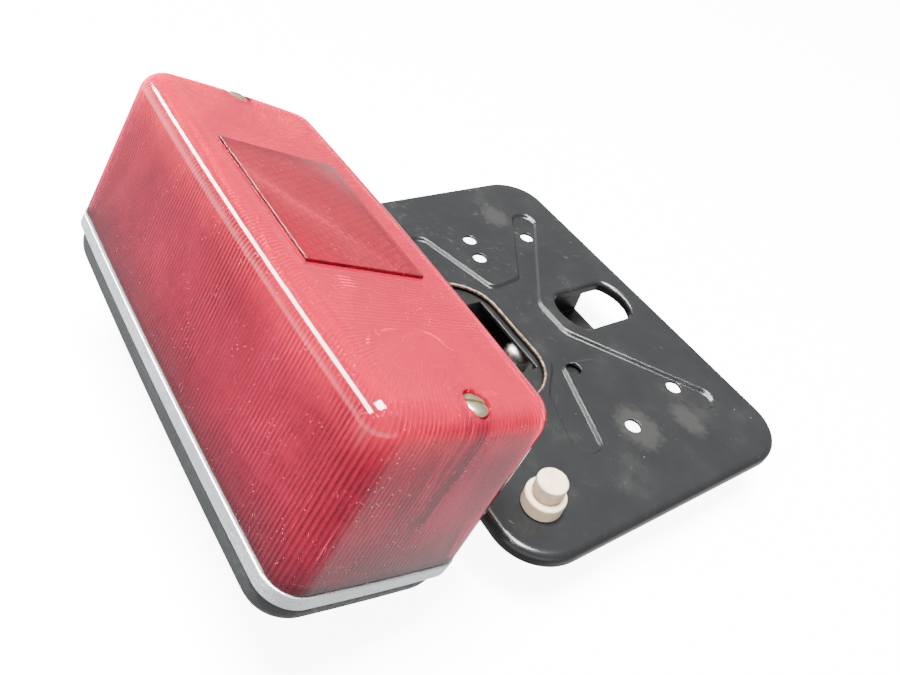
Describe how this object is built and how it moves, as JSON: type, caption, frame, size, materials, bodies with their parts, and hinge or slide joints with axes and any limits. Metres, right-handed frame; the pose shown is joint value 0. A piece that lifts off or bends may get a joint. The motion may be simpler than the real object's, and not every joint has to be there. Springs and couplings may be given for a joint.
{
  "type": "motorcycle tail light",
  "caption": "Rectangular red motorcycle tail lamp on a pressed-steel number-plate holder with its mudguard bracket; the lens lifts off and the bulb turns out.",
  "frame": {"origin": "centre of the two mudguard bolt holes, on the flat underside of the bracket", "axes": "+Z out of the number-plate holder's face; +Y from the lamp to the holder's free edge; +X along the lamp. The lamp's own axis leans 22 degrees from +Z towards +Y."},
  "size_m": [0.193, 0.2242, 0.1113],
  "materials": {
    "holder_paint": "semi-gloss black stoving paint, worn and chipped",
    "bracket_paint": "semi-gloss black paint",
    "cream_rubber": "aged cream rubber",
    "black_rubber": "matte",
    "zinc": "zinc plated",
    "nickel": "nickel plated, slightly yellowed",
    "base_paint": "smooth dark grey, satin",
    "bright_trim": "bright rolled metal with fine pitting",
    "white_reflector": "white reflecting enamel",
    "brass": "satin",
    "solder": "dull",
    "spring_steel": "bright wire",
    "brown_insulator": "moulded phenolic",
    "clear_glass": "clear glass",
    "red_lens": "transparent red acrylic, fluted inside",
    "red_reflex": "red acrylic with honeycomb prisms",
    "clear_window": "clear acrylic"
  },
  "bodies": {
    "holder": {"number_plate_holder": "holder_paint", "rubber_buffers": "cream_rubber", "mudguard_bracket": "bracket_paint", "bridge_strap": "bracket_paint", "captive_cap_nuts": "zinc", "lamp_base": "base_paint", "trim_ring": "bright_trim", "lens_gasket": "black_rubber", "reflector": "white_reflector", "reflector_screws": "zinc", "post_inserts": "brass", "base_pad": "black_rubber", "base_bolts": "zinc", "base_washers": "zinc", "base_nuts": "zinc", "wire_grommet": "black_rubber", "bulb_socket": "zinc", "socket_insulator": "brown_insulator", "terminal_block": "brown_insulator", "terminal_tabs": "brass", "contact_spring": "spring_steel"},
    "lens_unit": {"lens": "red_lens", "reflex_reflector": "red_reflex", "plate_window": "clear_window", "screw_seals": "black_rubber"},
    "near_screw": {"near_lens_screw": "nickel"},
    "far_screw": {"far_lens_screw": "nickel"},
    "plunger": {"contact_disc": "brown_insulator", "disc_contacts": "brass"},
    "bulb": {"bulb_cap": "brass", "bulb_contacts": "solder", "bulb_glass": "clear_glass", "bulb_filaments": "spring_steel"}
  },
  "joints": [
    {"name": "lens_lift", "type": "slide", "parent": "holder", "child": "lens_unit", "axis": [0, 0.3746, 0.9272], "range_m": [0, 0.075]},
    {"name": "near_screw_turn", "type": "hinge", "parent": "lens_unit", "child": "near_screw", "pos_m": [0.0754, -0.07947, 0.09296], "axis": [0, 0.3746, 0.9272], "continuous": true},
    {"name": "far_screw_turn", "type": "hinge", "parent": "lens_unit", "child": "far_screw", "pos_m": [-0.0754, -0.07947, 0.09296], "axis": [0, 0.3746, 0.9272], "continuous": true},
    {"name": "bulb_push", "type": "slide", "parent": "holder", "child": "plunger", "axis": [0, 0.3746, 0.9272], "range_m": [-0.002, 0], "stiffness_N_per_m": 1500, "springref_m": 0.002, "deforming": ["contact_spring"]},
    {"name": "bulb_turn", "type": "hinge", "parent": "plunger", "child": "bulb", "pos_m": [0, -0.0982, 0.0466], "axis": [0, 0.3746, 0.9272], "range_deg": [0, 20]}
  ]
}
